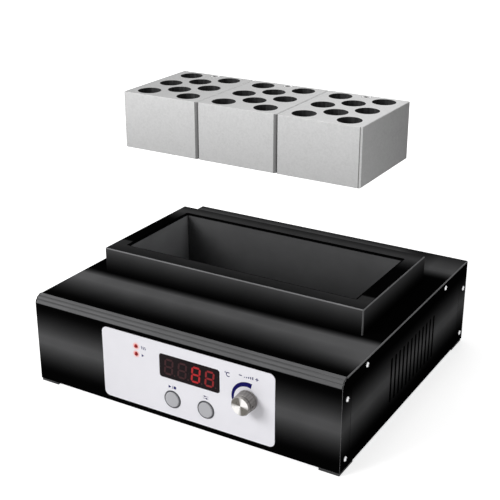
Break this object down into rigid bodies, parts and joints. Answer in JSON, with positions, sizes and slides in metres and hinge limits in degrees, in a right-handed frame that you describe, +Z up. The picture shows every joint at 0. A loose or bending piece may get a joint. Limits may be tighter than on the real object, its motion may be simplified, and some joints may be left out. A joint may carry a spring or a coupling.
{
  "type": "dry bath incubator",
  "caption": "Low black bench heater with a ribbed nose, a raised collar round a heated well and three lift-out metal blocks with staggered tube wells.",
  "frame": {"origin": "centre of the whole outline on the bench top, under the middle of the case", "axes": "+X to the user's right along the row of blocks, +Y to the back, +Z up"},
  "size_m": [0.3032, 0.2868, 0.2513],
  "materials": {
    "black_paint": "satin black powder coat",
    "zinc": "zinc plated",
    "overlay": "fine matte film",
    "window": "dark red tinted, gloss",
    "lamp_red": "clear red",
    "button_grey": "fine matte",
    "trim_dark": "dark",
    "knob_metal": "spun and anodised",
    "steel": "plain",
    "bright_steel": "nickel plated",
    "block_metal": "bead blasted",
    "plate_metal": "milled",
    "liner_metal": "dark heat-proof coat",
    "mat": "silicone",
    "insulation": "ceramic fibre",
    "board": "solder resist",
    "black_plastic": "moulded",
    "rocker_black": "moulded",
    "brass": "plain",
    "rubber": "matte",
    "ribbon_grey": "flat cable",
    "fuse_glass": "clear"
  },
  "bodies": {
    "case": {"front_fascia": "black_paint", "top_cover": "black_paint", "left_side_panel": "black_paint", "right_side_panel": "black_paint", "rear_panel": "black_paint", "base_tray": "zinc", "corner_feet": "rubber", "foot_screws": "bright_steel", "side_screws": "bright_steel", "well_collar": "black_paint", "collar_screws": "bright_steel", "well_liner": "liner_metal", "heater_plate": "plate_metal", "heater_mat": "mat", "base_insulation": "insulation", "well_insulation": "insulation", "collar_insulation": "insulation", "well_cradle": "zinc", "cradle_screws": "bright_steel", "temperature_sensor": "steel", "thermal_cutout": "steel", "front_overlay": "overlay", "display_window": "window", "display_module": "black_plastic", "indicator_leds": "lamp_red", "button_bezels": "trim_dark", "tact_switches": "black_plastic", "encoder_body": "steel", "encoder_nut": "bright_steel", "control_board": "board", "board_standoffs": "brass", "board_screws": "bright_steel", "power_board": "board", "power_standoffs": "brass", "power_screws": "bright_steel", "transformer": "steel", "relay": "black_plastic", "heat_sink": "plate_metal", "ribbon_cable": "ribbon_grey", "inlet_body": "black_plastic", "inlet_pins": "brass", "inlet_screws": "bright_steel", "rocker_frame": "black_plastic", "rocker_pin": "steel", "rocker_contacts": "brass", "ground_stud": "steel"},
    "start_button": {"start_button": "button_grey", "start_plunger": "black_plastic"},
    "set_button": {"set_button": "button_grey", "set_plunger": "black_plastic"},
    "knob": {"knob": "knob_metal", "knob_set_screw": "steel", "encoder_shaft": "steel"},
    "rocker": {"rocker": "rocker_black"},
    "fuse_drawer": {"fuse_drawer": "black_plastic", "fuse": "fuse_glass"},
    "block_left": {"block_left": "block_metal"},
    "block_middle": {"block_middle": "block_metal"},
    "block_right": {"block_right": "block_metal"}
  },
  "joints": [
    {"name": "start_button_press", "type": "slide", "parent": "case", "child": "start_button", "axis": [0, 1, 0], "range_m": [0, 0.001], "stiffness_N_per_m": 900, "springref_m": -0.0008},
    {"name": "set_button_press", "type": "slide", "parent": "case", "child": "set_button", "axis": [0, 1, 0], "range_m": [0, 0.001], "stiffness_N_per_m": 900, "springref_m": -0.0008},
    {"name": "knob_turn", "type": "hinge", "parent": "case", "child": "knob", "pos_m": [0.068, -0.137, 0.0445], "axis": [0, 1, 0], "continuous": true},
    {"name": "rocker_tilt", "type": "hinge", "parent": "case", "child": "rocker", "pos_m": [-0.048, 0.13825, 0.042], "axis": [1, 0, 0], "range_deg": [-20, 0]},
    {"name": "fuse_drawer_slide", "type": "slide", "parent": "case", "child": "fuse_drawer", "axis": [0, 1, 0], "range_m": [0, 0.012]},
    {"name": "block_left_lift", "type": "slide", "parent": "case", "child": "block_left", "axis": [0, 0, 1], "range_m": [-0.146, 0]},
    {"name": "block_middle_lift", "type": "slide", "parent": "case", "child": "block_middle", "axis": [0, 0, 1], "range_m": [-0.146, 0]},
    {"name": "block_right_lift", "type": "slide", "parent": "case", "child": "block_right", "axis": [0, 0, 1], "range_m": [-0.146, 0]}
  ]
}
